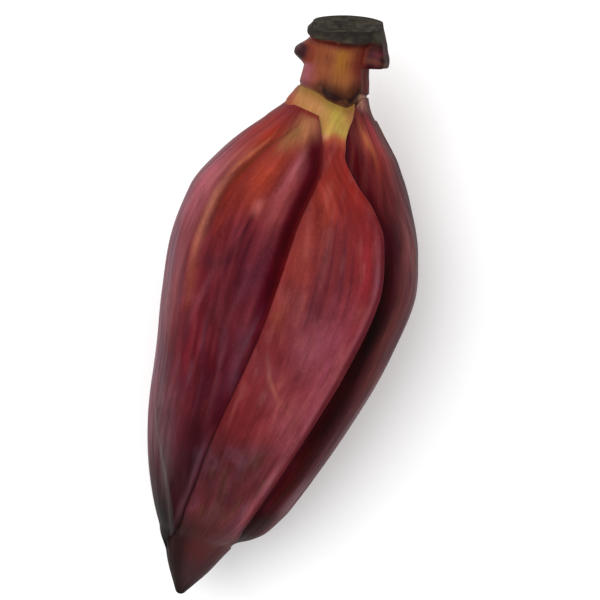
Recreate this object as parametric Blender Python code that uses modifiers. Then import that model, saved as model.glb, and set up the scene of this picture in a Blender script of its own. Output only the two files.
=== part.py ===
"""Banana blossom (banana heart), cut from its stalk and lying on its side.

The bud lies along Y with its cut stalk toward +Y and its tip toward -Y, on the surface Z = 0.
Every leaf-like bract is a curved shell laid over a common bud form, which is described by a
station, measured along the bud from the cut end, and an azimuth, measured round the bud from
straight up toward +X. Inside the five outer bracts lie rows of florets, a second whorl of
bracts and the closed heart, all carried by the stalk, which tapers to a core.
"""

import math

import bmesh
import bpy
import numpy as np
from mathutils import Matrix, Vector

# Driving dimensions, in metres. Stations run from the cut end, 0, to the tip, LENGTH.
LENGTH = 0.260              # from the middle of the cut to the tip
DEPTH_RATIO = 0.92          # height of a cross-section over its width
LAYER = 0.0040              # step from one layer of bracts to the next, at mid length
BRACT_THICKNESS = 0.0022
MARGIN_THINNING = 0.35      # thickness left at a bract's free margins
TIP_ROUNDING = 0.004        # how far a bract's tip corners stand back from its point
END_CROWDING = 0.5          # how much closer a bract's grid lines are at its base and tip
REST_PITCH = math.radians(6.5)   # the cut end lies this much higher than the tip
FLAT_DEPTH = 0.0025         # how much the blossom's weight flattens the bract under it

# The surfaces of inner pieces are the outer form, shrunk about a spot on the bud's middle line.
SHRINK_STATION = 0.207
INNER_WHORL = 0.58
HEART = 0.44

STALK_CUT_LEAN = math.radians(16)   # the cut face leans up from square
CUT_SIDE_LEAN = math.radians(14.5)  # and it is longer on its +X side
CUT_FADE = 0.022                    # how far down the stalk the slanted cut is felt
LIP_GAP = 0.0015                    # the stalk's lip ends this far above the bracts' bases
CORE_CROWDING = 1.5                 # how much closer the core's rings are near the lip
CORE_END = 0.128                    # where the tapering core meets the heart
BASE_FADE = 0.25                    # share of a bract's length that follows its base's slant

OUTER_GRID = (14, 22)       # cells across and along a bract
INNER_GRID = (8, 12)
STALK_GRID = (24, 30)
HEART_GRID = (16, 12)

FLORETS = 6                 # fingers in one row of florets
FLORET_RADIUS = 0.0022
FLORET_STATIONS = (0.062, 0.072, 0.083, 0.096)
FLORET_INSET = 0.0130       # depth of the fingers under the bud's middle surface
FLORET_ROW_ANGLE = math.radians(34)
FLORET_ROWS = (-84, -26, 80, 170, 228)   # azimuths of the rows, in degrees, each under its bract


def curve_through(*stations):
    """A smooth function through (place, value) pairs, which never swings past them."""
    places, values = np.array(stations, float).T
    rises = np.diff(values) / np.diff(places)
    slopes = np.concatenate((rises[:1], rises))
    for i, (before, after) in enumerate(zip(rises[:-1], rises[1:]), 1):
        slopes[i] = 2 * before * after / (before + after) if before * after > 0 else 0.0

    def value(place):
        place = min(max(place, places[0]), places[-1])
        i = min(int(np.searchsorted(places, place, side="right")) - 1, len(places) - 2)
        step = places[i + 1] - places[i]
        s = (place - places[i]) / step
        rise = values[i] * (1 + 2 * s) * (1 - s) ** 2 + values[i + 1] * s * s * (3 - 2 * s)
        bend = slopes[i] * s * (1 - s) ** 2 - slopes[i + 1] * s * s * (1 - s)
        return float(rise + step * bend)

    return value


def ramp(value, start, end):
    """0 before start, 1 after end, and a smooth step between."""
    s = min(max((value - start) / (end - start), 0.0), 1.0)
    return s * s * (3 - 2 * s)


def bump(value, middle, width):
    return math.exp(-(((value - middle) / width) ** 2))


# Half the bud's width, and how far its middle bows toward +X, at each station.
HALF_WIDTH = curve_through(
    (0.030, 0.0150), (0.037, 0.0172), (0.044, 0.0220), (0.050, 0.0270), (0.056, 0.0326),
    (0.070, 0.0423), (0.089, 0.0514), (0.110, 0.0548), (0.135, 0.0519), (0.161, 0.0466),
    (0.187, 0.0406), (0.213, 0.0314), (0.226, 0.0244), (0.2305, 0.0208), (0.2345, 0.0168),
    (0.239, 0.0144), (0.250, 0.0092), (0.258, 0.0044), (0.2625, 0.0016),
)
BOW = curve_through(
    (0.000, 0.0003), (0.032, 0.0036), (0.044, 0.0075), (0.056, 0.0104), (0.080, 0.0103),
    (0.110, 0.0118), (0.148, 0.0119), (0.187, 0.0094), (0.213, 0.0076), (0.226, 0.0052),
    (0.2305, 0.0035), (0.2345, 0.0014), (0.239, 0.0006), (0.2625, 0.0000),
)
WIDEST = 0.0548
# The stalk's own middle line, which runs on inside as the core.
STEM_BOW = curve_through(
    (0.000, -0.0002), (0.032, 0.0036), (0.044, 0.0068), (0.060, 0.0082), (CORE_END, 0.0080),
)
# Where the stalk's lip ends and the bracts' bases begin, at each azimuth in degrees.
NECK = curve_through(
    (-180, 0.0385), (-135, 0.0385), (-120, 0.0345), (-67, 0.0343), (-27, 0.0352), (-7, 0.0371),
    (16, 0.0378), (34, 0.0353), (52, 0.0313), (135, 0.0313), (150, 0.0385), (180, 0.0385),
)
# The stalk's radius above the lip, and the radius of the core below it.
STEM_RADIUS = curve_through(
    (0.000, 0.0150), (0.006, 0.0148), (0.011, 0.0136), (0.020, 0.0136), (0.029, 0.0146),
    (0.0335, 0.0152), (0.0385, 0.0158),
)
CORE_RADIUS = curve_through(
    (0.031, 0.0126), (0.037, 0.0128), (0.050, 0.0136), (0.065, 0.0118), (0.090, 0.0090),
    (CORE_END, 0.0060),
)
# Layers and bracts grow thinner toward the neck and the tip.
SLIMNESS = curve_through(
    (0.037, 0.75), (0.060, 0.95), (0.080, 1.0), (0.200, 1.0), (0.235, 0.70), (0.260, 0.25),
)


def bud_point(station, azimuth, proud):
    """The point that stands proud of the bud's middle surface, before the bud is laid down."""
    reach = HALF_WIDTH(station) + proud
    across = BOW(station) + reach * math.sin(azimuth)
    return Vector((across, LENGTH / 2 - station, reach * DEPTH_RATIO * math.cos(azimuth)))


def shrunk(point, scale):
    """The same point on an inner bud, shrunk toward a spot near the outer bud's tip."""
    spot = Vector((BOW(SHRINK_STATION), LENGTH / 2 - SHRINK_STATION, 0.0))
    return spot + (point - spot) * scale


def laid_down(point):
    """The point once the bud lies at its resting pitch."""
    return Matrix.Rotation(REST_PITCH, 3, "X") @ point


class Bract:
    """A leaf-like shell. Its two margins are azimuths in degrees that follow the station.

    slant gives how far the base's edge stands from the base station, at each azimuth.
    """

    def __init__(self, name, base, tip, left, right, level, left_level=None,
                 tuck_left=(0.0, 0.01), tuck_right=(0.0, 0.01), crease=None,
                 slant=((-180, 0.0), (360, 0.0)), flat_below=False):
        self.name = name
        self.base = base
        self.tip = tip
        self.left = curve_through(*left)
        self.right = curve_through(*right)
        self.right_level = curve_through(*level)
        self.left_level = curve_through(*(left_level or level))
        self.tuck_left = tuck_left
        self.tuck_right = tuck_right
        self.crease = crease
        self.slant = curve_through(*slant)
        self.flat_below = flat_below

    def place(self, u, v):
        """The station and azimuth at u, -1 to 1 across, and v, 0 at the base to 1 at the tip."""
        closer_at_ends = v - END_CROWDING * math.sin(2 * math.pi * v) / (2 * math.pi)
        station = self.base + (self.tip - self.base) * closer_at_ends
        left = math.radians(self.left(station))
        right = math.radians(self.right(station))
        azimuth = left + (right - left) * (u + 1) / 2
        station -= TIP_ROUNDING * u * u * ramp(v, 0.9, 1.0)
        station += self.slant(math.degrees(azimuth)) * (1 - ramp(v, 0.0, BASE_FADE))
        return station, azimuth

    def inset(self, u, station, depth_and_reach, side):
        """How far the margin on one side is drawn in, over its reach from the edge."""
        depth, reach = depth_and_reach
        spread = math.radians(self.right(station) - self.left(station))
        from_edge = (1 - side * u) / 2 * spread * HALF_WIDTH(station)
        along = ramp(station, self.base, self.base + 0.03) * (HALF_WIDTH(station) / WIDEST) ** 2
        return depth * along * max(0.0, 1 - from_edge / reach) ** 2

    def proud(self, u, station, azimuth):
        """How far this bract's outer face stands off the bud's middle surface."""
        across = ramp(u, -0.6, 0.4)
        level = self.left_level(station) * (1 - across) + self.right_level(station) * across
        height = LAYER * level * SLIMNESS(station)
        height -= self.inset(u, station, self.tuck_left, -1)
        height -= self.inset(u, station, self.tuck_right, 1)
        if self.crease:
            middle, width, rise, fade = self.crease
            along = ramp(station, self.base, self.base + 0.02) * (1 - ramp(station, *fade))
            height += rise * along * bump(math.degrees(azimuth), middle, width)
        return height

    def thickness(self, u, station):
        edge = MARGIN_THINNING + (1 - MARGIN_THINNING) * ramp(1 - abs(u), 0.0, 0.35)
        return SLIMNESS(station) * edge


OUTER_BRACTS = (
    Bract(
        "bract_left", base=0.0435, tip=0.2435,
        left=((0.043, -97), (0.070, -106), (0.110, -112), (0.180, -108), (0.220, -96),
              (0.2435, -72)),
        right=((0.043, -18), (0.049, -12), (0.057, -7), (0.066, -3), (0.091, -6), (0.130, -9),
               (0.160, -14), (0.191, -19), (0.213, -22), (0.232, -28), (0.2435, -44)),
        level=((0.043, 0.95), (0.065, 1.0)),
        tuck_right=(0.0016, 0.009), crease=(-50, 7, 0.0016, (0.11, 0.17)),
        slant=((-97, -0.0024), (-60, -0.0010), (-30, 0.0), (-18, 0.0006)),
    ),
    Bract(
        "bract_front", base=0.0350, tip=0.2625,
        left=((0.035, -98), (0.040, -86), (0.045, -76), (0.060, -60), (0.110, -55),
              (0.190, -50), (0.222, -60), (0.231, -86), (0.241, -124), (0.250, -150),
              (0.2625, -158)),
        right=((0.035, 36), (0.0423, 17), (0.0502, 9.5), (0.055, 9), (0.066, 19), (0.075, 31),
               (0.085, 37), (0.105, 38.5), (0.125, 37.5), (0.145, 35), (0.160, 33),
               (0.180, 30.5), (0.200, 29), (0.212, 29), (0.222, 35), (0.228, 44), (0.232, 52),
               (0.2350, 66), (0.2390, 106), (0.2445, 145), (0.250, 158), (0.2625, 162)),
        level=((0.037, 0.0), (0.2625, 0.0)),
        tuck_right=(-0.0008, 0.012),
        slant=((-98, -0.0005), (-67, -0.0006), (-27, 0.0003), (-7, 0.0022), (16, 0.0029),
               (36, 0.0002)),
    ),
    Bract(
        "bract_right", base=0.0316, tip=0.2350,
        left=((0.0316, 60), (0.0363, 39), (0.0423, 23), (0.0502, 15), (0.056, 12), (0.066, 9),
              (0.085, 22), (0.105, 26), (0.150, 25), (0.190, 19), (0.212, 18), (0.226, 36),
              (0.2350, 64)),
        right=((0.0316, 116), (0.040, 120), (0.060, 134), (0.110, 150), (0.170, 148),
               (0.215, 140), (0.228, 130), (0.2350, 116)),
        level=((0.0316, -0.05), (0.040, -0.3), (0.048, -0.7), (0.060, -1.0), (0.190, -1.0),
               (0.218, -0.5), (0.228, 0.0), (0.2350, 0.1)),
        left_level=((0.0316, -0.05), (0.048, -0.3), (0.062, -1.0), (0.2350, -1.0)),
        tuck_left=(0.0080, 0.026),
    ),
    Bract(
        "bract_under_right", base=0.0400, tip=0.2500,
        left=((0.040, 113), (0.060, 118), (0.110, 122), (0.190, 122), (0.225, 120),
              (0.240, 122), (0.250, 150)),
        right=((0.040, 227), (0.060, 228), (0.110, 228), (0.190, 228), (0.225, 228),
               (0.240, 226), (0.250, 205)),
        level=((0.040, 0.92), (0.060, 1.0)),
        left_level=((0.040, 0.45), (0.048, 0.3), (0.062, 0.0), (0.200, 0.0), (0.228, 1.3)),
        tuck_right=(0.0010, 0.008), flat_below=True,
    ),
    Bract(
        "bract_under_left", base=0.0410, tip=0.2380,
        left=((0.041, 221), (0.055, 216), (0.080, 206), (0.110, 200), (0.190, 202),
              (0.220, 208), (0.238, 222)),
        right=((0.041, 266), (0.060, 272), (0.110, 284), (0.180, 282), (0.220, 278),
               (0.238, 268)),
        level=((0.041, 0.0), (0.185, 0.0), (0.215, -1.0)),
    ),
)


def inner_bracts():
    """The second whorl: five plainer bracts, each turned to lie behind a gap of the first."""
    half = ((0.043, 28), (0.070, 44), (0.110, 52), (0.180, 48), (0.225, 30), (0.245, 10))
    for i, level in enumerate((1, 0, -1, 1, 0)):
        middle = -21 + 72 * i
        yield Bract(
            f"inner_bract_{i + 1}", base=0.043 + 0.001 * i, tip=0.245 - 0.001 * i,
            left=[(station, middle - angle) for station, angle in half],
            right=[(station, middle + angle) for station, angle in half],
            level=((0.043, level), (0.245, level)),
        )


def material(name, colour, roughness):
    made = bpy.data.materials.new(name)
    made.use_nodes = True
    shader = made.node_tree.nodes["Principled BSDF"]
    shader.inputs["Base Color"].default_value = (*colour, 1.0)
    shader.inputs["Roughness"].default_value = roughness
    shader.inputs["Metallic"].default_value = 0.0
    return made


def add_object(name, mesh, finish, frame, collection):
    made = bpy.data.objects.new(name, mesh)
    mesh.materials.append(finish)
    made.parent = frame
    collection.objects.link(made)
    return made


def grid_mesh(name, cells, place):
    """A grid whose corners run from -1 to 1 each way, with every point moved by place(x, y)."""
    shape = bmesh.new()
    bmesh.ops.create_grid(shape, x_segments=cells[0], y_segments=cells[1], size=1.0)
    for vertex in shape.verts:
        vertex.co = place(vertex.co.x, vertex.co.y)
    mesh = bpy.data.meshes.new(name)
    shape.to_mesh(mesh)
    shape.free()
    mesh.shade_smooth()
    return mesh


def flattened(mesh, depth):
    """Levels the lowest part of the mesh, as if it were pressed on a flat surface."""
    floor = min(vertex.co.z for vertex in mesh.vertices) + depth
    for vertex in mesh.vertices:
        vertex.co.z = max(vertex.co.z, floor)


def make_bract(bract, scale, cells, finish, frame, collection):
    """An open grid on the bud's form, thickened inward, thinner at its margins and tip."""
    thinness = []

    def place(x, y):
        u = x
        v = (1 - y) / 2
        station, azimuth = bract.place(u, v)
        thinness.append(bract.thickness(u, station))
        return laid_down(shrunk(bud_point(station, azimuth, bract.proud(u, station, azimuth)),
                                scale))

    mesh = grid_mesh(bract.name, cells, place)
    if bract.flat_below:
        flattened(mesh, FLAT_DEPTH)
    made = add_object(bract.name, mesh, finish, frame, collection)
    group = made.vertex_groups.new(name="thickness")
    for index, weight in enumerate(thinness):
        group.add([index], weight, "REPLACE")
    shell = made.modifiers.new("shell", "SOLIDIFY")
    shell.thickness = BRACT_THICKNESS * scale
    shell.offset = -1.0
    shell.vertex_group = group.name
    return made


def rolled_mesh(name, cells, place):
    """A grid rolled into a tube round the bud's axis, its seam welded and its ends closed."""
    mesh = grid_mesh(name, cells, place)
    shape = bmesh.new()
    shape.from_mesh(mesh)
    bmesh.ops.remove_doubles(shape, verts=shape.verts, dist=0.00001)
    ends = [edge for edge in shape.edges if edge.is_boundary]
    bmesh.ops.holes_fill(shape, edges=ends, sides=0)
    bmesh.ops.recalc_face_normals(shape, faces=shape.faces)
    shape.to_mesh(mesh)
    shape.free()
    return mesh


def stalk_radius(station, azimuth):
    """The stalk above its lip, with the torn bases of two old bracts."""
    degrees = math.degrees(azimuth)
    knob = 0.0060 * ramp(station, 0.0115, 0.0212) * (1 - ramp(station, 0.0222, 0.0260))
    flap = (0.0003 + 0.0074 * ramp(station, -0.002, 0.016)) * (1 - ramp(station, 0.0168, 0.0192))
    flap *= ramp(degrees, 45, 65) * (1 - ramp(degrees, 120, 155))
    return STEM_RADIUS(station) + knob * bump(degrees, -88, 34) + flap


def stalk_ring(share, azimuth):
    """The station and radius at a share of the stalk's length: the stem, then the thin core."""
    neck = NECK(math.degrees(azimuth))
    one_ring = 1 / STALK_GRID[1]
    if share <= 0.5:
        station = (neck - LIP_GAP) * share / 0.5
        return station, stalk_radius(station, azimuth)
    along = max(0.0, share - 0.5 - one_ring) / (0.5 - one_ring)
    station = neck + (CORE_END - neck) * along ** CORE_CROWDING
    return station, CORE_RADIUS(station)


def make_stalk(finish, frame, collection):
    """The cut stalk with the core that carries the bracts, as one solid."""

    def place(x, y):
        azimuth = math.pi * x
        station, reach = stalk_ring((1 - y) / 2, azimuth)
        rise = reach * DEPTH_RATIO * math.cos(azimuth)
        aside = reach * math.sin(azimuth)
        above_lowest = reach * DEPTH_RATIO + rise
        across = STEM_BOW(station) + aside
        slanted = math.tan(STALK_CUT_LEAN) * above_lowest - math.tan(CUT_SIDE_LEAN) * aside
        station += slanted * (1 - ramp(station, 0.0, CUT_FADE))
        return laid_down(Vector((across, LENGTH / 2 - station, rise)))

    mesh = rolled_mesh("stalk", STALK_GRID, place)
    return add_object("stalk", mesh, finish, frame, collection)


def make_heart(finish, frame, collection):
    """The tight inner bud, closed round itself."""
    first, last = 0.046, 0.2585

    def place(x, y):
        station = first + (last - first) * (1 - y) / 2
        return laid_down(shrunk(bud_point(station, math.pi * x, 0.0), HEART))

    mesh = rolled_mesh("heart", HEART_GRID, place)
    return add_object("heart", mesh, finish, frame, collection)


def tube_mesh(name, points, radii, depth, sides_step):
    """A tapering tube with closed ends along a polyline, as a welded mesh."""
    data = bpy.data.curves.new(name, "CURVE")
    data.dimensions = "3D"
    data.bevel_depth = depth
    data.bevel_resolution = sides_step
    data.use_fill_caps = True
    spline = data.splines.new("POLY")
    spline.points.add(len(points) - 1)
    for point, place, radius in zip(spline.points, points, radii):
        point.co = (*place, 1.0)
        point.radius = radius
    curve = bpy.data.objects.new(name, data)
    bpy.context.scene.collection.objects.link(curve)
    bpy.context.view_layer.update()
    evaluated = curve.evaluated_get(bpy.context.evaluated_depsgraph_get())
    mesh = bpy.data.meshes.new_from_object(evaluated)
    bpy.data.objects.remove(curve)
    shape = bmesh.new()
    shape.from_mesh(mesh)
    bmesh.ops.remove_doubles(shape, verts=shape.verts, dist=0.00001)
    bmesh.ops.recalc_face_normals(shape, faces=shape.faces)
    shape.to_mesh(mesh)
    shape.free()
    return mesh


def make_floret_row(number, middle, finish, frame, collection, cutters):
    """One row of florets: a cushion across the bract's base, with a finger for each floret."""

    def point(station, azimuth):
        return laid_down(bud_point(station, azimuth, -FLORET_INSET))

    angles = [middle + FLORET_ROW_ANGLE * (i / (FLORETS - 1) - 0.5) for i in range(FLORETS)]
    first = FLORET_STATIONS[0]
    slimmer_at_ends = [0.9] + [1.0] * (FLORETS - 2) + [0.9]
    cushion = tube_mesh(f"floret_row_{number}", [point(first, angle) for angle in angles],
                        slimmer_at_ends, FLORET_RADIUS * 1.25, 1)
    row = add_object(f"floret_row_{number}", cushion, finish, frame, collection)
    fingers = bpy.data.collections.new(f"fingers_{number}")
    cutters.children.link(fingers)
    for i, angle in enumerate(angles):
        route = [point(station, angle) for station in FLORET_STATIONS]
        finger = tube_mesh(f"finger_{number}_{i + 1}", route, [0.75, 1.0, 1.0, 0.6],
                           FLORET_RADIUS, 1)
        guide = bpy.data.objects.new(f"finger_{number}_{i + 1}", finger)
        guide.parent = frame
        guide.hide_render = True
        guide.display_type = "WIRE"
        fingers.objects.link(guide)
    union = row.modifiers.new("fingers", "BOOLEAN")
    union.operation = "UNION"
    union.operand_type = "COLLECTION"
    union.collection = fingers
    return row


def centre_on_origin(frame, pieces):
    """Moves the whole blossom so that its box stands on Z = 0, centred over the origin."""
    bpy.context.view_layer.update()
    graph = bpy.context.evaluated_depsgraph_get()
    corners = []
    for piece in pieces:
        mesh = piece.evaluated_get(graph).to_mesh()
        corners += [piece.matrix_world @ vertex.co for vertex in mesh.vertices]
        piece.evaluated_get(graph).to_mesh_clear()
    corners = np.array(corners)
    low = corners.min(axis=0)
    high = corners.max(axis=0)
    frame.location = (-(low[0] + high[0]) / 2, -(low[1] + high[1]) / 2, -low[2])


def main():
    for old in list(bpy.data.objects):
        bpy.data.objects.remove(old)
    blossom = bpy.data.collections.new("banana_blossom")
    cutters = bpy.data.collections.new("cutters")
    bpy.context.scene.collection.children.link(blossom)
    bpy.context.scene.collection.children.link(cutters)
    frame = bpy.data.objects.new("blossom_frame", None)
    blossom.objects.link(frame)

    outer_skin = material("bract_crimson", (0.20, 0.035, 0.045), 0.5)
    inner_skin = material("bract_pink", (0.52, 0.16, 0.17), 0.5)
    stem_skin = material("stalk_rust", (0.24, 0.09, 0.04), 0.65)
    pale_skin = material("floret_cream", (0.75, 0.65, 0.38), 0.55)

    pieces = [make_stalk(stem_skin, frame, blossom)]
    for bract in OUTER_BRACTS:
        pieces.append(make_bract(bract, 1.0, OUTER_GRID, outer_skin, frame, blossom))
    for bract in inner_bracts():
        pieces.append(make_bract(bract, INNER_WHORL, INNER_GRID, inner_skin, frame, blossom))
    pieces.append(make_heart(inner_skin, frame, blossom))
    for i, degrees in enumerate(FLORET_ROWS):
        pieces.append(make_floret_row(i + 1, math.radians(degrees), pale_skin, frame, blossom,
                                      cutters))
    centre_on_origin(frame, pieces)


main()
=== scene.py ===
"""The looks of a banana blossom lying on its side: crimson bracts, cut stalk, hidden florets."""
import math

import bpy
import numpy as np
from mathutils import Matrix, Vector


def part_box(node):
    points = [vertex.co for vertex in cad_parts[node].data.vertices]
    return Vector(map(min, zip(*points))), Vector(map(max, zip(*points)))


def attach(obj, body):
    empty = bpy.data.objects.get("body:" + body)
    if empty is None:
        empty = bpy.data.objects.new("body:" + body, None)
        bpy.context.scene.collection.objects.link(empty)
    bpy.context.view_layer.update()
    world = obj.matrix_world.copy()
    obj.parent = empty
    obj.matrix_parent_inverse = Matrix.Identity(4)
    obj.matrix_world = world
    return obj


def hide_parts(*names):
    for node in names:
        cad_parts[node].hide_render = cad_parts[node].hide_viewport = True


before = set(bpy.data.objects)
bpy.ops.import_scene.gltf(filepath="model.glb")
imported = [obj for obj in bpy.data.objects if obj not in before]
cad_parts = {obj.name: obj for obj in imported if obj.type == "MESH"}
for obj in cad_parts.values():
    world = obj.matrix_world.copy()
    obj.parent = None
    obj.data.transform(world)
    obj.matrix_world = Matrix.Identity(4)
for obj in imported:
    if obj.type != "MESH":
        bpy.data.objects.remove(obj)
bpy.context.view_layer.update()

MM = 0.001

# ---------------------------------------------------------------- the bud's form
# It follows the CAD's, in metres, with a few margins moved by some millimetres. Stations run
# from the cut end, 0, to the tip, LENGTH. Azimuths run round the bud from straight up toward +X.
LENGTH = 0.26
DEPTH_RATIO = 0.92          # height of a cross-section over its width
WIDEST = 0.0548             # the largest half width
LAYER = 0.004               # step from one layer of bracts to the next, at mid length
BRACT_THICKNESS = 0.0022
MARGIN_THINNING = 0.35      # thickness left at a bract's free margins
TIP_THINNING = 0.85         # thickness lost at a bract's tip
TIP_FILLING = 0.0028        # flesh that fills the bud's own tip
TIP_ROUNDING = 0.004        # how far a bract's tip corners stand back from its point
END_CROWDING = 0.5          # how much closer a bract's grid lines are at its base and tip
BASE_FADE = 0.25            # the share of a bract's length over which its base's slant fades
REST_PITCH = math.radians(6.5)   # the cut end lies this much higher than the tip
FLAT_DEPTH = 0.0025         # how much the blossom's weight flattens the bract under it
SHRINK_STATION = 0.207      # inner pieces are the bud's form, shrunk about its middle line here
INNER_WHORL = 0.58          # and by this much
HEART = 0.44
CORE_END = 0.128            # where the stalk's inner core ends
CAD_GRID = (14, 22)         # the CAD's own cells across and along an outer bract


def curve_through(*stations):
    """A smooth function through (place, value) pairs, which never swings past them."""
    places, values = np.array(stations, float).T
    rises = np.diff(values) / np.diff(places)
    slopes = np.concatenate((rises[:1], rises))
    for i, (before, after) in enumerate(zip(rises[:-1], rises[1:]), 1):
        slopes[i] = 2 * before * after / (before + after) if before * after > 0 else 0.0

    def value(place):
        place = np.clip(place, places[0], places[-1])
        i = np.clip(np.searchsorted(places, place, side="right") - 1, 0, len(places) - 2)
        step = places[i + 1] - places[i]
        s = (place - places[i]) / step
        rise = values[i] * (1 + 2 * s) * (1 - s) ** 2 + values[i + 1] * s * s * (3 - 2 * s)
        bend = slopes[i] * s * (1 - s) ** 2 - slopes[i + 1] * s * s * (1 - s)
        return rise + step * bend

    return value


def ramp(value, start, end):
    """0 before start, 1 after end, and a smooth step between."""
    s = np.clip((value - start) / (end - start), 0.0, 1.0)
    return s * s * (3 - 2 * s)


def fall(value, start, end):
    """1 before start, 0 after end, and a smooth step between."""
    return 1 - ramp(value, start, end)


def bump(value, middle, width):
    """A bell that is 1 at the middle."""
    return np.exp(-(((value - middle) / width) ** 2))


def soft_noise(x, y, seed):
    """Smooth noise from -1 to 1, one lattice cell to a unit."""
    table = np.random.default_rng(seed).uniform(-1, 1, (256, 256))
    left = np.floor(x).astype(int)
    low = np.floor(y).astype(int)
    fx = (x - left) ** 2 * (3 - 2 * (x - left))
    fy = (y - low) ** 2 * (3 - 2 * (y - low))
    corner = {(i, j): table[(left + i) % 256, (low + j) % 256] for i in (0, 1) for j in (0, 1)}
    lower = corner[0, 0] * (1 - fx) + corner[1, 0] * fx
    upper = corner[0, 1] * (1 - fx) + corner[1, 1] * fx
    return lower * (1 - fy) + upper * fy


HALF_WIDTH = curve_through(
    (0.03, 0.015), (0.037, 0.0172), (0.044, 0.022), (0.05, 0.027), (0.056, 0.0326),
    (0.07, 0.0423), (0.089, 0.0514), (0.11, WIDEST), (0.135, 0.0519), (0.161, 0.0466),
    (0.187, 0.0406), (0.213, 0.0314), (0.226, 0.0244), (0.2305, 0.0208), (0.2345, 0.0168),
    (0.239, 0.0144), (0.25, 0.0092), (0.258, 0.0044), (0.2625, 0.0016),
)
BOW = curve_through(
    (0.000, 0.0003), (0.032, 0.0036), (0.044, 0.0075), (0.056, 0.0104), (0.08, 0.0103),
    (0.11, 0.0118), (0.148, 0.0119), (0.187, 0.0094), (0.213, 0.0076), (0.226, 0.0052),
    (0.2305, 0.0035), (0.2345, 0.0014), (0.239, 0.0006), (0.2625, 0.0000),
)
# The stalk's own middle line, which runs on inside as the core.
STEM_BOW = curve_through(
    (0.000, -0.0002), (0.032, 0.0036), (0.044, 0.0068), (0.06, 0.0082), (CORE_END, 0.008),
)
# Where the stalk's lip ends and the bracts' bases begin, at each azimuth in degrees.
NECK = curve_through(
    (-180, 0.0385), (-135, 0.0385), (-120, 0.0345), (-67, 0.0343), (-27, 0.0352), (-7, 0.0371),
    (16, 0.0378), (34, 0.0353), (52, 0.0313), (135, 0.0313), (150, 0.0385), (180, 0.0385),
)
# The stalk's radius above the lip, and the radius of the core below it.
STEM_RADIUS = curve_through(
    (0.000, 0.015), (0.006, 0.0148), (0.011, 0.0136), (0.02, 0.0136), (0.029, 0.0146),
    (0.0335, 0.0152), (0.0385, 0.0158),
)
CORE_RADIUS = curve_through(
    (0.031, 0.0126), (0.037, 0.0128), (0.05, 0.0136), (0.065, 0.0118), (0.09, 0.009),
    (CORE_END, 0.006),
)
# Layers and bracts grow thinner toward the neck and the tip.
SLIMNESS = curve_through(
    (0.037, 0.75), (0.06, 0.95), (0.08, 1.0), (0.2, 1.0), (0.235, 0.7), (0.26, 0.25),
)


def laid_down(points):
    """Points of the upright bud's frame once it lies at its resting pitch."""
    cosine, sine = math.cos(REST_PITCH), math.sin(REST_PITCH)
    x, y, z = points[..., 0], points[..., 1], points[..., 2]
    return np.stack((x, y * cosine - z * sine, y * sine + z * cosine), axis=-1)


def bud_points(station, azimuth, proud, scale=1.0):
    """Points that stand proud of the bud's middle surface, shrunk for an inner bud."""
    reach = HALF_WIDTH(station) + proud
    points = np.stack((
        BOW(station) + reach * np.sin(azimuth),
        LENGTH / 2 - station,
        reach * DEPTH_RATIO * np.cos(azimuth),
    ), axis=-1)
    spot = np.array((float(BOW(SHRINK_STATION)), LENGTH / 2 - SHRINK_STATION, 0.0))
    return laid_down(spot + (points - spot) * scale)


class Bract:
    """A leaf-like shell. Its two margins are azimuths in degrees that follow the station.

    slant gives how far the base's edge stands from the base station, at each azimuth.
    """

    def __init__(self, name, base, tip, left, right, level, left_level=None,
                 tuck_left=(0.0, 0.01), tuck_right=(0.0, 0.01), crease=None,
                 slant=((-180, 0.0), (360, 0.0)), flat_below=False):
        self.name = name
        self.base = base
        self.tip = tip
        self.left = curve_through(*left)
        self.right = curve_through(*right)
        self.right_level = curve_through(*level)
        self.left_level = curve_through(*(left_level or level))
        self.tuck_left = tuck_left
        self.tuck_right = tuck_right
        self.crease = crease
        self.slant = curve_through(*slant)
        self.flat_below = flat_below

    def place(self, u, v):
        """The station and azimuth at u, -1 to 1 across, and v, 0 at the base to 1 at the tip."""
        closer_at_ends = v - END_CROWDING * np.sin(2 * math.pi * v) / (2 * math.pi)
        station = self.base + (self.tip - self.base) * closer_at_ends
        left = np.radians(self.left(station))
        right = np.radians(self.right(station))
        azimuth = left + (right - left) * (u + 1) / 2
        station = station - TIP_ROUNDING * u * u * ramp(v, 0.9, 1.0)
        slanted = self.slant(np.degrees(azimuth)) * fall(v, 0.0, BASE_FADE)
        return station + slanted, azimuth

    def from_edge(self, u, station, side):
        """Metres from the margin on one side, along the surface."""
        spread = np.radians(self.right(station) - self.left(station))
        return (1 - side * u) / 2 * spread * HALF_WIDTH(station)

    def inset(self, u, station, depth_and_reach, side):
        """How far the margin on one side is drawn in, over its reach from the edge."""
        depth, reach = depth_and_reach
        along = ramp(station, self.base, self.base + 0.03) * (HALF_WIDTH(station) / WIDEST) ** 2
        near = np.maximum(0.0, 1 - self.from_edge(u, station, side) / reach)
        return depth * along * near ** 2

    def proud(self, u, station, azimuth):
        """How far this bract's outer face stands off the bud's middle surface."""
        across = ramp(u, -0.6, 0.4)
        level = self.left_level(station) * (1 - across) + self.right_level(station) * across
        height = LAYER * level * SLIMNESS(station)
        height = height - self.inset(u, station, self.tuck_left, -1)
        height = height - self.inset(u, station, self.tuck_right, 1)
        if self.crease:
            middle, width, rise, fade = self.crease
            along = ramp(station, self.base, self.base + 0.02) * fall(station, *fade)
            height = height + rise * along * bump(np.degrees(azimuth), middle, width)
        return height


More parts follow.
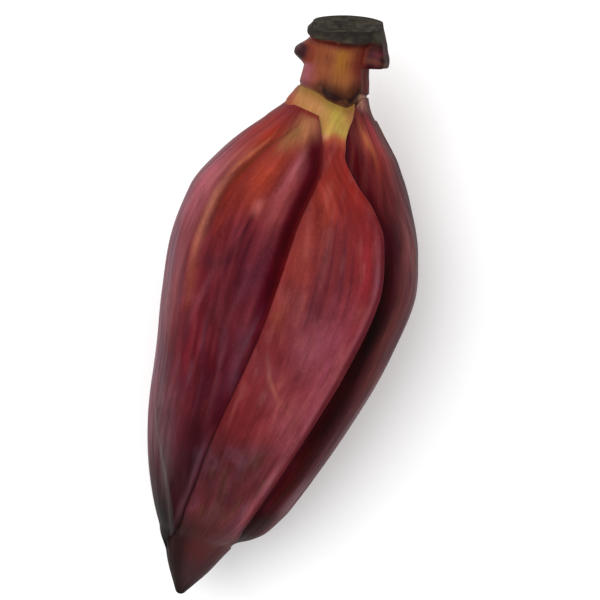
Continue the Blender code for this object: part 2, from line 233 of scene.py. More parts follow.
OUTER_BRACTS = (
    Bract(
        "bract_left", base=0.0435, tip=0.2435,
        left=((0.043, -97), (0.07, -106), (0.11, -112), (0.18, -108), (0.22, -98),
              (0.233, -91), (0.239, -78), (0.2435, -62)),
        right=((0.043, -18), (0.049, -12), (0.057, -7), (0.066, -3), (0.091, -6), (0.13, -9),
               (0.16, -14.5), (0.191, -20.5), (0.205, -23.5), (0.213, -26), (0.2185, -28.5),
               (0.232, -33), (0.2435, -54)),
        level=((0.043, 0.95), (0.065, 1.0), (0.15, 1.0), (0.2, 0.72), (0.2435, 0.45)),
        left_level=((0.043, 0.95), (0.065, 1.0), (0.208, 1.0), (0.2435, 0.45)),
        tuck_right=(0.0016, 0.009), crease=(-50, 7, 0.0016, (0.11, 0.17)),
        slant=((-97, -0.0024), (-60, -0.001), (-30, 0.0), (-18, 0.0006)),
    ),
    Bract(
        "bract_front", base=0.035, tip=0.2625,
        left=((0.035, -98), (0.04, -86), (0.045, -76), (0.06, -60), (0.11, -55),
              (0.19, -50), (0.216, -60), (0.224, -84), (0.233, -120), (0.243, -146),
              (0.252, -165), (0.2625, -178)),
        right=((0.035, 36), (0.0423, 17), (0.0502, 9.5), (0.055, 9), (0.066, 19), (0.075, 31),
               (0.085, 37), (0.105, 38.5), (0.125, 37.5), (0.145, 35), (0.16, 33),
               (0.18, 30.5), (0.2, 28), (0.212, 27), (0.222, 29), (0.228, 36), (0.232, 47),
               (0.235, 64), (0.239, 106), (0.2445, 145), (0.25, 162), (0.2625, 178)),
        level=((0.037, 0.0), (0.2625, 0.0)),
        tuck_right=(-0.0008, 0.012),
        slant=((-98, -0.0005), (-67, -0.0006), (-27, 0.0003), (-7, 0.0022), (16, 0.0029),
               (36, 0.0002)),
    ),
    Bract(
        "bract_right", base=0.0316, tip=0.235,
        left=((0.0316, 60), (0.0363, 37), (0.0423, 17), (0.0502, 7), (0.056, 5), (0.066, 6),
              (0.085, 22), (0.105, 26), (0.15, 25), (0.19, 19), (0.212, 13), (0.224, 20),
              (0.23, 34), (0.235, 64)),
        right=((0.0316, 116), (0.04, 120), (0.06, 134), (0.11, 150), (0.17, 148),
               (0.215, 140), (0.228, 130), (0.235, 116)),
        level=((0.0316, -0.05), (0.04, -0.3), (0.048, -0.7), (0.06, -1.0), (0.19, -1.0),
               (0.218, -0.5), (0.228, 0.0), (0.235, 0.1)),
        left_level=((0.0316, -0.05), (0.048, -0.3), (0.062, -1.0), (0.235, -1.0)),
        tuck_left=(0.008, 0.026),
    ),
    Bract(
        "bract_under_right", base=0.04, tip=0.25,
        left=((0.04, 113), (0.06, 118), (0.11, 122), (0.19, 122), (0.225, 120),
              (0.24, 122), (0.25, 150)),
        right=((0.04, 227), (0.06, 228), (0.11, 228), (0.19, 228), (0.225, 228),
               (0.24, 226), (0.25, 205)),
        level=((0.04, 0.92), (0.06, 1.0)),
        left_level=((0.04, 0.45), (0.048, 0.3), (0.062, 0.0), (0.2, 0.0), (0.228, 1.3)),
        tuck_right=(0.001, 0.008), flat_below=True,
    ),
    Bract(
        "bract_under_left", base=0.041, tip=0.238,
        left=((0.041, 221), (0.055, 216), (0.08, 206), (0.11, 200), (0.19, 202),
              (0.22, 208), (0.238, 222)),
        right=((0.041, 266), (0.06, 272), (0.11, 284), (0.18, 282), (0.22, 278),
               (0.238, 268)),
        level=((0.041, 0.0), (0.185, 0.0), (0.215, -1.0)),
    ),
)
BRACTS = {bract.name: bract for bract in OUTER_BRACTS}
RESTING = "bract_under_right"       # the bract that the blossom lies on


def inner_bracts():
    """The second whorl: five plainer bracts, each turned to lie behind a gap of the first."""
    half = ((0.043, 28), (0.07, 44), (0.11, 52), (0.18, 48), (0.225, 30), (0.245, 10))
    for i, level in enumerate((1, 0, -1, 1, 0)):
        middle = -21 + 72 * i
        yield Bract(
            f"inner_bract_{i + 1}", base=0.043 + 0.001 * i, tip=0.245 - 0.001 * i,
            left=[(station, middle - angle) for station, angle in half],
            right=[(station, middle + angle) for station, angle in half],
            level=((0.043, level), (0.245, level)),
        )


def uv_grid(columns, rows):
    """Even u and v over a bract, with a row for each step from base to tip."""
    return np.meshgrid(np.linspace(-1, 1, columns + 1), np.linspace(0, 1, rows + 1))


def plain_surface(bract, cells):
    """A bract's outer face without its relief, before the blossom is centred."""
    u, v = uv_grid(*cells)
    station, azimuth = bract.place(u, v)
    return bud_points(station, azimuth, bract.proud(u, station, azimuth))


def settling():
    """What moves the bud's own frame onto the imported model, from the boxes of its CAD nodes."""
    left = plain_surface(BRACTS["bract_left"], CAD_GRID)[..., 0].min()
    tip = plain_surface(BRACTS["bract_front"], CAD_GRID)[..., 1].min()
    floor = plain_surface(BRACTS[RESTING], CAD_GRID)[..., 2].min() + FLAT_DEPTH
    return np.array((
        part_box("bract_left")[0][0] - left,
        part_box("bract_front")[0][1] - tip,
        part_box(RESTING)[0][2] - floor,
    ))


SETTLE = settling()


# ---------------------------------------------------------------- mesh making
RIM_ROUNDING = 0.4          # how far a shell's edge bulges, over its thickness


def normals_of(points):
    """Outward unit normals of a grid of points, from its own steps."""
    across = np.gradient(points, axis=1)
    along = np.gradient(points, axis=0)
    found = np.cross(along, across)
    return found / np.maximum(np.linalg.norm(found, axis=-1, keepdims=True), 1e-12)


def placed(name, data):
    made = bpy.data.objects.new(name, data)
    bpy.context.scene.collection.objects.link(made)
    return made


def new_object(name, points, faces, values):
    """A smooth mesh object; values maps an attribute's name to its numbers at the points."""
    mesh = bpy.data.meshes.new(name)
    mesh.from_pydata(points.tolist(), [], faces)
    for title, numbers in values.items():
        width = 1 if numbers.ndim == 1 else numbers.shape[1]
        kind, field = {1: ("FLOAT", "value"), 3: ("FLOAT_VECTOR", "vector"),
                       4: ("FLOAT_COLOR", "color")}[width]
        made = mesh.attributes.new(title, kind, "POINT")
        made.data.foreach_set(field, np.ascontiguousarray(numbers, np.float32).ravel())
    mesh.shade_smooth()
    mesh.update()
    return placed(name, mesh)


def shell_object(name, outer, thickness, values):
    """A closed shell: the outer grid, a parallel inner one, and a rounded rim between them."""
    rows, columns = outer.shape[:2]
    outward = normals_of(outer)
    inner = outer - outward * thickness[..., None]
    index = np.arange(rows * columns).reshape(rows, columns)
    loop = np.concatenate((index[0, :], index[1:, -1], index[-1, -2::-1], index[-2:0:-1, 0]))
    flat_outer = outer.reshape(-1, 3)
    flat_inner = inner.reshape(-1, 3)
    middle = (flat_outer[loop] + flat_inner[loop]) / 2
    ahead = np.roll(middle, -1, axis=0) - np.roll(middle, 1, axis=0)
    away = np.cross(ahead, outward.reshape(-1, 3)[loop])
    away /= np.maximum(np.linalg.norm(away, axis=1, keepdims=True), 1e-12)
    rim = middle - away * (thickness.ravel()[loop] * RIM_ROUNDING)[:, None]
    quads = np.stack((index[:-1, :-1], index[1:, :-1], index[1:, 1:], index[:-1, 1:]), -1)
    quads = quads.reshape(-1, 4)
    count = rows * columns
    faces = quads.tolist() + (quads[:, ::-1] + count).tolist()
    following = np.roll(loop, -1)
    rim_index = 2 * count + np.arange(len(loop))
    rim_next = np.roll(rim_index, -1)
    faces += np.stack((loop, following, rim_next, rim_index), -1).tolist()
    faces += np.stack((rim_index, rim_next, following + count, loop + count), -1).tolist()
    points = np.concatenate((flat_outer, flat_inner, rim)) + SETTLE
    carried = {}
    for title, numbers in values.items():
        flat = numbers.reshape(count, -1)
        joined = np.concatenate((flat, flat, flat[loop]))
        carried[title] = joined[:, 0] if joined.shape[1] == 1 else joined
    return new_object(name, points, faces, carried)


# ---------------------------------------------------------------- colours as zones
def rgb(red, green, blue):
    """A colour given on the 0 to 255 screen scale, as linear light."""
    screen = np.array((red, green, blue)) / 255
    return np.where(screen <= 0.04045, screen / 12.92, ((screen + 0.055) / 1.055) ** 2.4)


def blend(tint, colour, share):
    share = np.clip(share, 0, 1)[..., None]
    return tint * (1 - share) + colour * share


def fibre_noise(u, station, fibres, length, seed):
    """Streaks along a bract: fibres cells across it, each about length mm long."""
    return soft_noise((u + 1) / 2 * fibres, station / MM / length, seed)


WAX_SHINE = 0.005
BRIGHT_STUDIO = 0.82        # the paint is darkened this much for the bright light it lies in
LEAST_LEFT = 0.15


def less_shine(tint):
    """The tint less what the surface's own shine will add back to it."""
    return np.maximum(BRIGHT_STUDIO * tint - WAX_SHINE, LEAST_LEFT * tint)


def opaque(tint):
    return np.concatenate((tint, np.ones(tint.shape[:-1] + (1,))), -1)


class Paint:
    """A bract's colours, laid on in turn. Places are (station in mm, azimuth in degrees)."""

    def __init__(self, station, azimuth, ground):
        self.station = station / MM
        self.degrees = np.degrees(azimuth)
        # Patches follow a place that drifts a little, so that their outlines are uneven.
        self.along = self.station + 3.0 * soft_noise(self.station / 9, self.degrees / 7 + 40, 5)
        self.around = self.degrees + 0.5 * soft_noise(self.station / 16, self.degrees / 3 + 40, 6)
        self.tint = np.broadcast_to(rgb(*ground), station.shape + (3,))

    def lay(self, colour, share):
        self.tint = blend(self.tint, rgb(*colour), share)

    def patch(self, colour, at, size, share):
        """A soft oval; its size is millimetres along and degrees around."""
        along = (self.along - at[0]) / size[0]
        around = (self.around - at[1]) / size[1]
        self.lay(colour, share * np.exp(-(along ** 2 + around ** 2)))

    def line(self, colour, start, end, width, share):
        """A thin mark between two places; its width is in degrees."""
        share_along = np.clip((self.station - start[0]) / (end[0] - start[0]), 0, 1)
        middle = start[1] + (end[1] - start[1]) * share_along
        ends = bump(self.station, (start[0] + end[0]) / 2, abs(end[0] - start[0]) * 0.6)
        self.lay(colour, share * ends * bump(self.degrees, middle, width))

    def marks(self, rows):
        """Patches, of four terms, and lines, of five, in the order that they are laid on."""
        for row in rows:
            (self.patch if len(row) == 4 else self.line)(*row)

    def mottle(self, colour, size, seed, share):
        """Uneven blots over the whole bract; size is millimetres along and degrees around."""
        blots = soft_noise(self.station / size[0], self.degrees / size[1] + 90, seed)
        self.lay(colour, share * ramp(blots, 0.05, 0.65))

    def from_station(self, colour, start, end, share):
        self.lay(colour, share * ramp(self.along, start, end))

    def before_station(self, colour, start, end, share):
        self.lay(colour, share * fall(self.along, start, end))

    def toward_azimuth(self, colour, start, end, share):
        """Colour ramped in from one azimuth toward another, as the wax bloom and painted sheen on the
        flanks.
        """
        self.lay(colour, share * ramp((self.degrees - start) * np.sign(end - start), 0,
                                      abs(end - start)))

    def finished(self):
        return less_shine(self.tint)


LEFT_MARKS = (
    ((124, 88, 94), (138, -66), (20, 6), 0.7),
    ((150, 58, 42), (72, -31), (17, 12), 0.95),  # rust beside the crest
    ((164, 106, 72), (50, -25), (7, 11), 0.95),  # tan where it meets bract_front
    ((128, 96, 56), (56, -30), (5, 5), 0.75),
    ((158, 78, 88), (84, -65), (22, 8), 0.85),  # rosy left of the crest, partly painted light on the side facing the lamp
    ((168, 84, 90), (84, -56), (14, 5), 0.7),
    ((152, 72, 62), (68, -54), (8, 6), 0.7),
    ((126, 58, 62), (124, -57), (20, 8), 0.8),
    ((134, 34, 28), (54, -62), (12, 17), 0.95),  # bright red by the base
    ((150, 48, 34), (57, -47), (8, 8), 0.85),
    ((114, 40, 32), (88, -41), (24, 4.5), 0.9),  # the valley by the crest: painted shade on the side turned from the lamp
    ((96, 50, 30), (51, -33), (64, -42), 1.5, 0.8),  # painted shade on the crest's side turned from the lamp
    ((92, 44, 28), (62, -41), (80, -45), 1.4, 0.8),
    ((88, 34, 28), (76, -45), (100, -45), 1.3, 0.65),
    ((166, 92, 66), (58, -43), (76, -48), 1.3, 0.7),  # painted highlight along the crest's ridge, where it catches the light
    ((182, 112, 90), (76, -48), (114, -48), 2.1, 0.72),
    ((132, 64, 50), (104, -48), (140, -46), 2.4, 0.55),
    ((130, 62, 62), (78, -16), (18, 5), 0.8),
    # a small painted highlight
    ((172, 92, 88), (85, -25), (3.5, 2.5), 0.7),
    ((160, 86, 92), (62, -16), (80, -19), 2.0, 0.55),
    ((112, 44, 52), (106, -17), (10, 4), 0.6),
    ((76, 29, 35), (107, -28), (10, 6), 0.75),  # the dark bruise
    ((46, 20, 28), (90, -26), (102, -29), 1.3, 0.8),
    ((48, 26, 34), (110, -33), (3.5, 3.5), 0.8),
    ((52, 22, 28), (98, -23), (108, -24), 0.8, 0.6),
    ((128, 46, 52), (92, -28), (104, -31), 0.9, 0.6),
    ((58, 34, 44), (113, -39), (3, 3), 0.55),
    ((118, 60, 70), (116, -37), (144, -46), 1.6, 0.6),  # dusty streaks
    ((112, 62, 70), (116, -21), (142, -26), 1.5, 0.5),
    ((106, 56, 64), (128, -14), (156, -18), 1.2, 0.55),
    ((80, 32, 38), (130, -26), (16, 5), 0.6),
    ((92, 27, 36), (156, -47), (18, 9), 0.85),  # clear crimson
    ((100, 50, 60), (142, -17), (14, 4), 0.6),  # dusty by the margin
    ((72, 23, 30), (156, -29), (22, 8), 0.8),
    ((56, 24, 28), (184, -28), (22, 10), 0.9),
    ((88, 56, 62), (186, -49), (17, 8), 0.75),  # grey-plum below
    ((72, 44, 48), (206, -42), (14, 8), 0.6),
)


def tint_left(bract, u, station, azimuth):
    paint = Paint(station, azimuth, (90, 31, 39))
    mm, degrees = paint.station, paint.degrees
    paint.toward_azimuth((118, 74, 84), -58, -76, 0.85 * ramp(mm, 56, 72))  # dusty flank: wax bloom, with painted sheen where it turns away
    paint.marks(LEFT_MARKS)
    above_dusk = fall(mm, 160, 190)
    paint.mottle((66, 32, 44), (18, 3.5), 201, 0.36 * ramp(mm, 84, 104) * above_dusk)
    paint.mottle((132, 54, 58), (16, 2.2), 202, 0.22 * above_dusk)
    paint.mottle((96, 60, 70), (16, 4), 203, 0.3 * ramp(mm, 120, 150) * above_dusk)
    paint.mottle((84, 60, 64), (14, 3), 204, 0.4 * ramp(mm, 176, 200))
    paint.patch((68, 36, 48), (116, -19), (9, 5), 0.5)  # bluish by the margin
    # a painted highlight along the right margin's rim
    paint.line((98, 62, 74), (124, -11), (150, -16), 0.9, 0.6)
    paint.patch((100, 74, 78), (184, -61), (20, 7), 0.7)
    paint.from_station((42, 24, 27), 188, 214, 0.75)
    paint.patch((96, 82, 84), (207, -51), (14, 6), 0.5)
    paint.patch((44, 20, 24), (202, -27), (16, 8), 0.65)
    paint.patch((20, 16, 14), (230, -58), (14, 16), 0.97)  # the blackened tip
    paint.from_station((26, 20, 19), 216, 230, 0.9)
    paint.line((90, 80, 80), (176, -62), (238, -41), 2.2, 0.45)  # the fold's dry edge
    fade = fall(mm, 112, 150)
    away = bract.from_edge(u, station, 1) / MM
    # painted shade where the rolled right margin turns down toward bract_front
    paint.lay((60, 12, 22), 0.95 * fade * fall(away, 3.0, 7.0) * ramp(mm, 48, 60))
    # fainter painted shade along the margin, lower down
    paint.lay((64, 16, 26), 0.55 * (1 - fade) * fall(mm, 168, 196) * fall(away, 0.4, 3.4))
    # a lilac painted highlight just inside the margin, near the tip
    paint.lay((98, 60, 70), 0.5 * bump(away, 1.6, 1.2) * ramp(mm, 176, 196) * fall(mm, 220, 234))
    # a painted highlight on the rolled margin's edge, where it catches the light
    paint.lay((112, 34, 30), 0.6 * fade * bump(away, 0.0, 0.8) * ramp(mm, 52, 60))
    from_base = mm - (bract.base + bract.slant(degrees)) / MM
    paint.lay((112, 34, 32), 0.75 * fall(from_base, 0.6, 2.6))
    return paint.finished()


FRONT_MARKS = (
    ((130, 38, 32), (66, 16), (16, 18), 0.9),  # red below the pale base
    ((138, 54, 42), (80, 4), (18, 7), 0.85),  # rust-orange left side, partly painted light from the lamp on the left
    ((132, 56, 48), (104, 0), (16, 6), 0.8),
    ((108, 46, 48), (104, 14), (22, 6), 0.8),  # dusty, streaked middle
    ((128, 38, 42), (98, 30), (22, 6), 0.85),  # clear red by the rim
    ((112, 54, 54), (122, 2), (10, 7), 0.7),
    ((130, 68, 80), (136, 14), (18, 10), 0.8),  # mauve dust
    ((150, 72, 88), (142, 26), (26, 5), 0.85),
    ((110, 46, 50), (148, -7), (14, 7), 0.75),
    ((136, 62, 68), (166, 14), (10, 11), 0.8),
    ((102, 37, 41), (176, -8), (14, 8), 0.85),
    ((140, 72, 82), (174, 21), (12, 8), 0.7),
    ((62, 24, 28), (195, -15), (15, 7), 0.9),  # the shade beside bract_left
    ((88, 50, 55), (192, 5), (10, 9), 0.85),  # a grey, scuffed patch
    ((112, 82, 86), (193, 2), (4, 3), 0.45),
    ((98, 44, 54), (196, 20), (11, 7), 0.75),
    ((66, 36, 39), (206, -12), (14, 9), 0.85),
    ((80, 44, 51), (210, 4), (11, 8), 0.8),
    ((128, 86, 98), (213, 18), (6, 4), 0.8),  # paler where it turns
)
FRONT_SCRATCHES = (
    ((70, 32, 40), (86, 12), (116, 13), 0.8, 0.6),  # dark striations
    ((64, 32, 42), (90, 17), (110, 19), 1.0, 0.6),
    ((74, 38, 48), (104, 8), (130, 9), 0.7, 0.5),
    ((68, 34, 44), (98, 22), (118, 24), 0.7, 0.5),
    ((142, 86, 84), (84, 9), (108, 10), 0.7, 0.45),
    ((158, 88, 74), (152, -1), (163, 9), 1.3, 0.5),  # healed scratches
    ((150, 78, 68), (160, 8), (168, 19), 1.5, 0.45),
    ((134, 80, 70), (144, -4), (156, 1), 1.0, 0.35),
)


def tint_front(bract, u, station, azimuth):
    paint = Paint(station, azimuth, (118, 44, 46))
    mm, degrees = paint.station, paint.degrees
    paint.marks(FRONT_MARKS)
    paint.from_station((70, 42, 43), 214, 226, 0.8)
    paint.patch((102, 68, 72), (224, 24), (10, 10), 0.7)
    paint.from_station((62, 46, 48), 236, 250, 0.8)
    paint.toward_azimuth((34, 26, 25), 8, -30, 0.85 * ramp(mm, 214, 238))
    paint.from_station((30, 27, 26), 252, 262, 0.8)
    paint.marks(FRONT_SCRATCHES)
    whole = fall(mm, 168, 184)
    scuffed = ramp(mm, 178, 192) * fall(mm, 214, 230)
    paint.mottle((104, 40, 44), (8, 3), 211, 0.28 * whole)
    paint.mottle((144, 76, 72), (9, 2.5), 212, 0.28 * whole)
    paint.lay((86, 44, 49), 0.55 * scuffed * fall(degrees, 14, 30))
    paint.mottle((80, 56, 44), (10, 5), 213, 0.45 * scuffed)
    paint.mottle((100, 62, 74), (7, 7), 214, 0.35 * scuffed)
    paint.mottle((62, 26, 30), (7, 4), 216, 0.3 * scuffed)
    paint.mottle((84, 40, 54), (16, 2.5), 215, 0.4 * bump(degrees, 14, 10)
                 * bump(mm, 106, 30))
    paint.patch((136, 70, 50), (127, -4), (5, 3), 0.4)  # rusty beside bract_left
    rim = bract.from_edge(u, station, 1) / MM
    along_rim = ramp(mm, 70, 94) * fall(mm, 214, 232)
    # painted highlight along the lifted right margin
    paint.lay((150, 78, 88), 0.6 * bump(rim, 3.0, 1.8) * along_rim)
    # painted shade at the margin's very edge, widest about mid length
    shade = 1.3 * bump(mm, 138, 32)
    paint.lay((84, 28, 36), 0.75 * fall(rim, 0.6 + shade, 2.6 + shade) * along_rim)
    paint.before_station((168, 82, 60), 52.5, 58, 0.85)               # the pale base
    paint.before_station((174, 138, 72), 49, 54, 1.0)
    paint.patch((154, 138, 62), (43, 2), (5, 7), 0.7)
    # a small painted highlight where bract_left's margin meets the pale base
    paint.patch((205, 140, 110), (52, -9), (2, 3), 0.6)
    left_of_base = ramp(-degrees, -2, 22)
    paint.lay((170, 118, 74), fall(mm, 47, 53) * left_of_base)
    paint.lay((146, 66, 48), 0.9 * fall(mm, 47, 53) * ramp(
        -degrees + 1.6 * (mm - 40), 46, 70))
    paint.lay((160, 108, 68), fall(mm, 44, 52) * ramp(degrees, 10, 22))
    from_base = mm - (bract.base + bract.slant(degrees)) / MM
    paint.lay((118, 88, 40), 0.65 * fall(from_base, 0.5, 5.0))
    return paint.finished()


RIGHT_MARKS = (
    ((118, 60, 64), (90, 65), (22, 8), 0.9),  # plum shoulder
    ((150, 52, 50), (54, 48), (11, 15), 0.95),  # lit red by the base
    # a painted highlight by the base
    ((166, 80, 62), (48, 36), (5, 9), 0.85),
    ((118, 52, 46), (41, 36), (5, 10), 0.8),
    ((118, 60, 58), (50, 67), (10, 7), 0.75),
    ((160, 54, 62), (44, 54), (6, 8), 0.7),
    ((174, 122, 106), (32, 50), (3, 15), 0.75),
    # painted highlight: an orange streak near the neck
    ((150, 98, 52), (44, 33), (54, 38), 2.5, 0.55),
    ((170, 78, 54), (48, 36), (60, 42), 2.5, 0.55),
    ((110, 38, 38), (68, 48), (8, 12), 0.8),
    ((82, 20, 24), (50, 16), (68, 28), 5.0, 0.8),  # shade along bract_front's margin
    ((70, 18, 24), (64, 28), (84, 42), 5.0, 0.75),
    ((22, 6, 7), (126, 47), (44, 8.5), 0.98),  # painted shadow of bract_front's lifted margin in the deep gap, on skin darker where it was covered
    ((34, 9, 10), (168, 47), (22, 8), 0.92),
    ((58, 8, 11), (204, 47), (20, 10), 0.95),
    ((92, 46, 36), (106, 57), (144, 59), 2.2, 0.75),  # an olive-brown streak, painted light on a fibre inside the gap's shade
    ((100, 36, 38), (118, 61), (152, 62), 1.6, 0.55),
    ((92, 52, 58), (168, 68), (30, 6), 0.7),
    ((112, 72, 80), (206, 66), (8, 7), 0.7),
)


def tint_right(bract, u, station, azimuth):
    paint = Paint(station, azimuth, (76, 31, 38))
    mm, degrees = paint.station, paint.degrees
    paint.marks(RIGHT_MARKS)
    # painted sheen toward the right flank, where it turns away
    paint.toward_azimuth((108, 72, 78), 69, 82, 0.7 * ramp(mm, 90, 106))
    paint.toward_azimuth((62, 28, 34), 70, 80, 0.7 * fall(mm, 70, 90))
    paint.mottle((44, 10, 16), (14, 4), 221, 0.35)
    paint.mottle((112, 54, 48), (16, 3), 222, 0.3 * (1 - bump(degrees, 47, 9)))
    paint.patch((98, 26, 26), (130, 60), (26, 4), 0.45)
    paint.patch((84, 26, 22), (118, 64), (15, 3), 0.55)
    # the gap's painted shadow, carried on to this bract's end
    paint.from_station((36, 4, 7), 211, 219, 0.85 * fall(degrees, 56, 72))
    paint.patch((118, 80, 86), (208, 68), (9, 8), 0.7)
    paint.from_station((30, 10, 13), 223, 231, 0.8)
    return paint.finished()


def tint_under(bract, u, station, azimuth):
    paint = Paint(station, azimuth, (110, 42, 50))
    middle = float(bract.left(0.13) + bract.right(0.13)) / 2
    paint.patch((134, 62, 68), (110, middle), (50, 20), 0.7)
    paint.patch((150, 60, 50), (60, middle), (16, 30), 0.7)
    paint.patch((94, 34, 44), (150, middle - 24), (40, 10), 0.6)
    paint.patch((104, 60, 66), (170, middle + 22), (40, 12), 0.6)
    paint.before_station((166, 118, 78), 42, 50, 0.9)
    paint.from_station((66, 42, 46), 190, 232, 0.85)
    return paint.finished()


TINTS = {
    "bract_left": tint_left,
    "bract_front": tint_front,
    "bract_right": tint_right,
    "bract_under_right": tint_under,
    "bract_under_left": tint_under,
}


# ---------------------------------------------------------------- bracts
FIBRES_LEAVE = 0.196        # from here bract_front's fibres run on to its tip, not to its margin
FIBRES_STRAIGHT = 0.212
OUTER_FIBRES = 45           # across the width of a bract
INNER_FIBRES = 30
HEART_FIBRES = 120
INNER_CALM = 0.3            # how much the skin's streaks and blots fade on inner pieces
SEED_STEP = 7.0             # what parts the noise of one piece from another's


def across_fibres(bract, u, station, azimuth):
    """Where a point lies across the fibres, -1 to 1 over most of the bract."""
    if bract.name != "bract_front":
        return u
    left, right = bract.left(FIBRES_LEAVE), bract.right(FIBRES_LEAVE)
    straight = 2 * (np.degrees(azimuth) - left) / (right - left) - 1
    share = ramp(station, FIBRES_LEAVE, FIBRES_STRAIGHT)
    return u * (1 - share) + straight * share


def sculpted(bract, u, station, azimuth, seed):
    """Relief of a real bract, in metres: folds, ribs along its fibres, rolled margins."""
    calm = ramp(1 - np.abs(u), 0.0, 0.12) * ramp(station, bract.base, bract.base + 0.015)
    breadth = np.radians(bract.right(station) - bract.left(station)) * HALF_WIDTH(station)
    calm = calm * SLIMNESS(station) * ramp(breadth, 0.0, 0.06)
    across = across_fibres(bract, u, station, azimuth)
    relief = 0.0005 * fibre_noise(across, station, 4, 55, seed)
    relief = relief + 0.0001 * fibre_noise(across, station, 22, 80, seed + 1)
    relief = relief + 0.00003 * fibre_noise(across, station, 64, 60, seed + 2)
    relief = relief * calm
    degrees = np.degrees(azimuth)
    from_base = station - bract.base - bract.slant(degrees)
    if bract.name == "bract_left":
        along = ramp(station, 0.046, 0.066) * fall(station, 0.12, 0.2)
        relief = relief - 0.0009 * along * bump(degrees, -38, 7)
        fold = -67 + 32 * ramp(station, 0.165, 0.24)
        relief = relief + 0.0007 * bump(degrees, fold, 3.5) * ramp(station, 0.165, 0.19) * (
            SLIMNESS(station))
        roll = np.maximum(0, 1 - bract.from_edge(u, station, 1) / 0.0055) ** 2
        relief = relief - roll * ramp(station, 0.046, 0.06) * SLIMNESS(station) * (
            0.0019 * fall(station, 0.15, 0.2) + 0.0002)
        relief = relief - 0.0019 * fall(from_base, 0.0, 0.009)
    if bract.name == "bract_front":
        shoulder = bump(station, 0.041, 0.0045) * ramp(-degrees, 25, 70)
        relief = relief + 0.0017 * shoulder - 0.0005 * fall(from_base, 0.0, 0.002)
    if bract.name == "bract_right":
        hollow = np.maximum(0, 1 - bract.from_edge(u, station, -1) / 0.03) ** 2
        relief = relief - 0.003 * hollow * ramp(station, 0.075, 0.11) * fall(station, 0.19, 0.225)
        relief = relief - 0.0001 * fall(from_base, 0.0, 0.0025)
    return relief


def bract_thickness(bract, u, station, azimuth):
    """Metres of flesh: thin at the margins, the base's edge and the tip, but for the bud's tip."""
    across = MARGIN_THINNING + (1 - MARGIN_THINNING) * ramp(1 - np.abs(u), 0.0, 0.35)
    across = across * (1 - TIP_THINNING * ramp(station, bract.tip - 0.015, bract.tip - 0.006))
    from_base = station - bract.base - bract.slant(np.degrees(azimuth))
    at_base = 0.3 + 0.7 * ramp(from_base, 0, 0.006)
    flesh = BRACT_THICKNESS * SLIMNESS(station) * across * at_base
    if bract.name == "bract_front":
        flesh = flesh + TIP_FILLING * ramp(station, bract.tip - 0.007, bract.tip - 0.0005)
    return flesh


def finish_piece(piece, finish, node):
    """Every piece of this blossom rides on its one body, in place of its plain CAD solid."""
    piece.data.materials.append(finish)
    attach(piece, "root")
    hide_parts(node)


def make_outer_bract(bract, cells, finish, seed):
    u, v = uv_grid(*cells)
    station, azimuth = bract.place(u, v)
    proud = bract.proud(u, station, azimuth) + sculpted(bract, u, station, azimuth, seed)
    outer = bud_points(station, azimuth, proud)
    if bract.flat_below:
        outer[..., 2] = np.maximum(outer[..., 2], -SETTLE[2])
    tint = opaque(TINTS[bract.name](bract, u, station, azimuth))
    across = across_fibres(bract, u, station, azimuth) * OUTER_FIBRES
    fibre = np.stack((across, station / MM, np.full(u.shape, seed * SEED_STEP)), -1)
    calm = 0.75 * ramp(station, 0.214, 0.244) + 0.35 * fall(station, 0.046, 0.06)
    made = shell_object(f"{bract.name}_skin", outer, bract_thickness(bract, u, station, azimuth),
                        {"tint": tint, "fibre": fibre, "calm": calm})
    finish_piece(made, finish, bract.name)


def make_inner_bract(bract, cells, finish, seed):
    """A bract of the second whorl: paler, smoother, and shrunk with the whole inner bud."""
    u, v = uv_grid(*cells)
    station, azimuth = bract.place(u, v)
    proud = bract.proud(u, station, azimuth) + 0.6 * sculpted(bract, u, station, azimuth, seed)
    outer = bud_points(station, azimuth, proud, INNER_WHORL)
    tint = blend(np.broadcast_to(rgb(186, 92, 90), u.shape + (3,)), rgb(214, 176, 128),
                 fall(station, 0.045, 0.075))
    tint = opaque(blend(tint, rgb(128, 44, 56), ramp(station, 0.18, 0.25)))
    fibre = np.stack((u * INNER_FIBRES, station / MM, np.full(u.shape, seed * SEED_STEP)), -1)
    thickness = bract_thickness(bract, u, station, azimuth) * INNER_WHORL
    made = shell_object(f"{bract.name}_skin", outer, thickness,
                        {"tint": tint, "fibre": fibre, "calm": np.full(u.shape, INNER_CALM)})
    finish_piece(made, finish, bract.name)


def rolled_object(name, points, values):
    """A closed tube from a grid of rings, its two ends capped."""
    rows, columns = points.shape[:2]
    index = np.arange(rows * columns).reshape(rows, columns)
    after = np.roll(index, -1, axis=1)
    quads = np.stack((index[:-1], index[1:], after[1:], after[:-1]), -1).reshape(-1, 4)
    faces = quads.tolist() + [index[0].tolist(), index[-1, ::-1].tolist()]
    flat = {title: numbers.reshape(rows * columns, -1) for title, numbers in values.items()}
    flat = {title: one[:, 0] if one.shape[1] == 1 else one for title, one in flat.items()}
    return new_object(name, points.reshape(-1, 3) + SETTLE, faces, flat)


